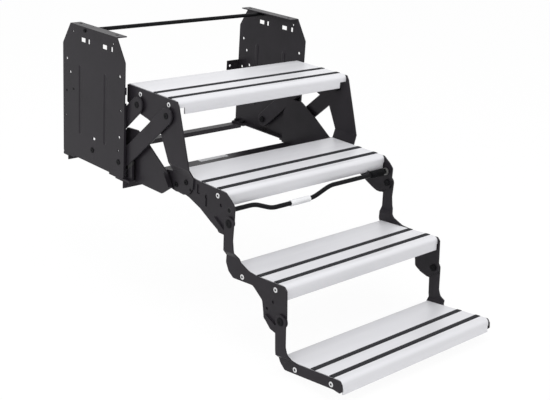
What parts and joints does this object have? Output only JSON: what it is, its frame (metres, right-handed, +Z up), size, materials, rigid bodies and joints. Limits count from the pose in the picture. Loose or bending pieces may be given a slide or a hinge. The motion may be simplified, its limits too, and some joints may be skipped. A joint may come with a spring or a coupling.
{
  "type": "caravan pull out step",
  "caption": "Pull-out entrance step for a caravan: flat treads on folding side brackets, a link-hung frame and a stowage housing that bolts under the floor.",
  "frame": {"origin": "centre of the four floor bolt holes, on the top face of the housing", "axes": "+X across the step to the right seen from outside looking at the caravan, -Y outward, +Z up"},
  "size_m": [0.651, 1.0914, 0.6857],
  "materials": {
    "charcoal_steel": "dark charcoal powder coat, slightly uneven",
    "black_steel": "satin black",
    "tread_aluminium": "pale silver, fine satin",
    "grip_strip": "dark grey grit",
    "rest_rubber": "matt black",
    "black_nylon": "matt black",
    "grey_grip": "light grey sleeve",
    "bright_screws": "bright button heads",
    "zinc_steel": "dull zinc plate"
  },
  "bodies": {
    "housing": {"side_plate_left": "charcoal_steel", "side_plate_right": "charcoal_steel", "top_tie_rod": "black_steel", "tie_rod_screws": "black_steel", "front_cross_member": "charcoal_steel", "rear_cross_member": "charcoal_steel", "cross_member_bolts": "black_steel", "cross_member_nuts": "black_steel", "guide_plate_left": "charcoal_steel", "guide_plate_right": "charcoal_steel", "guide_plate_bolts": "black_steel", "rest_posts": "charcoal_steel", "rubber_rests": "rest_rubber", "lower_pivot_bolts": "black_steel", "lower_pivot_spacers": "zinc_steel", "lower_pivot_nuts": "black_steel"},
    "front_links": {"front_link_left": "charcoal_steel", "front_link_right": "charcoal_steel", "front_link_bushes": "black_nylon"},
    "rear_links": {"rear_link_left": "charcoal_steel", "rear_link_right": "charcoal_steel", "rear_link_bushes": "black_nylon"},
    "step_frame": {"upper_bracket_left": "charcoal_steel", "upper_bracket_right": "charcoal_steel", "upper_pivot_bolts": "black_steel", "upper_pivot_washers": "zinc_steel", "upper_pivot_nuts": "black_steel", "second_bracket_left": "charcoal_steel", "second_bracket_right": "charcoal_steel", "frame_bolts": "black_steel", "frame_nuts": "black_steel", "foot_screws": "black_steel", "first_tread": "tread_aluminium", "first_tread_strips": "grip_strip", "first_tread_screws": "bright_screws", "second_tread": "tread_aluminium", "second_tread_strips": "grip_strip", "second_tread_screws": "bright_screws", "third_fold_pins": "black_steel", "third_fold_washers": "black_nylon", "third_fold_nuts": "black_steel", "bar_bushes": "black_nylon", "bar_spring": "black_steel"},
    "third_step": {"third_bracket_left": "charcoal_steel", "third_bracket_right": "charcoal_steel", "third_tread": "tread_aluminium", "third_tread_strips": "grip_strip", "third_tread_screws": "bright_screws", "fourth_fold_pins": "black_steel", "fourth_fold_washers": "black_nylon", "fourth_fold_nuts": "black_steel"},
    "fourth_step": {"fourth_bracket_left": "charcoal_steel", "fourth_bracket_right": "charcoal_steel", "fourth_tread": "tread_aluminium", "fourth_tread_strips": "grip_strip", "fourth_tread_screws": "bright_screws"},
    "pull_handle": {"pull_bar": "black_steel", "bar_collars": "zinc_steel", "bar_grip": "grey_grip"}
  },
  "joints": [
    {"name": "stow_swing", "type": "hinge", "parent": "housing", "child": "front_links", "pos_m": [0, -0.122, -0.332], "axis": [-1, 0, 0], "range_deg": [0, 83]},
    {"name": "rear_link_swing", "type": "hinge", "parent": "housing", "child": "rear_links", "pos_m": [0, 0.002, -0.332], "axis": [-1, 0, 0], "range_deg": [0, 83]},
    {"name": "frame_on_links", "type": "hinge", "parent": "front_links", "child": "step_frame", "pos_m": [0, -0.3115, -0.16137], "axis": [-1, 0, 0], "range_deg": [-83, 0]},
    {"name": "third_fold", "type": "hinge", "parent": "step_frame", "child": "third_step", "pos_m": [0, -0.545, -0.37747], "axis": [-1, 0, 0], "range_deg": [0, 175]},
    {"name": "fourth_fold", "type": "hinge", "parent": "third_step", "child": "fourth_step", "pos_m": [0, -0.7407, -0.56263], "axis": [-1, 0, 0], "range_deg": [0, 177.35]},
    {"name": "handle_turn", "type": "hinge", "parent": "step_frame", "child": "pull_handle", "pos_m": [0, -0.539, -0.34597], "axis": [-1, 0, 0], "range_deg": [0, 25], "stiffness_Nm_per_rad": 1, "springref_deg": -11.46}
  ],
  "couplings": [
    {"joint": "rear_link_swing", "follows": "stow_swing", "ratio": 1},
    {"joint": "frame_on_links", "follows": "stow_swing", "ratio": -1}
  ]
}
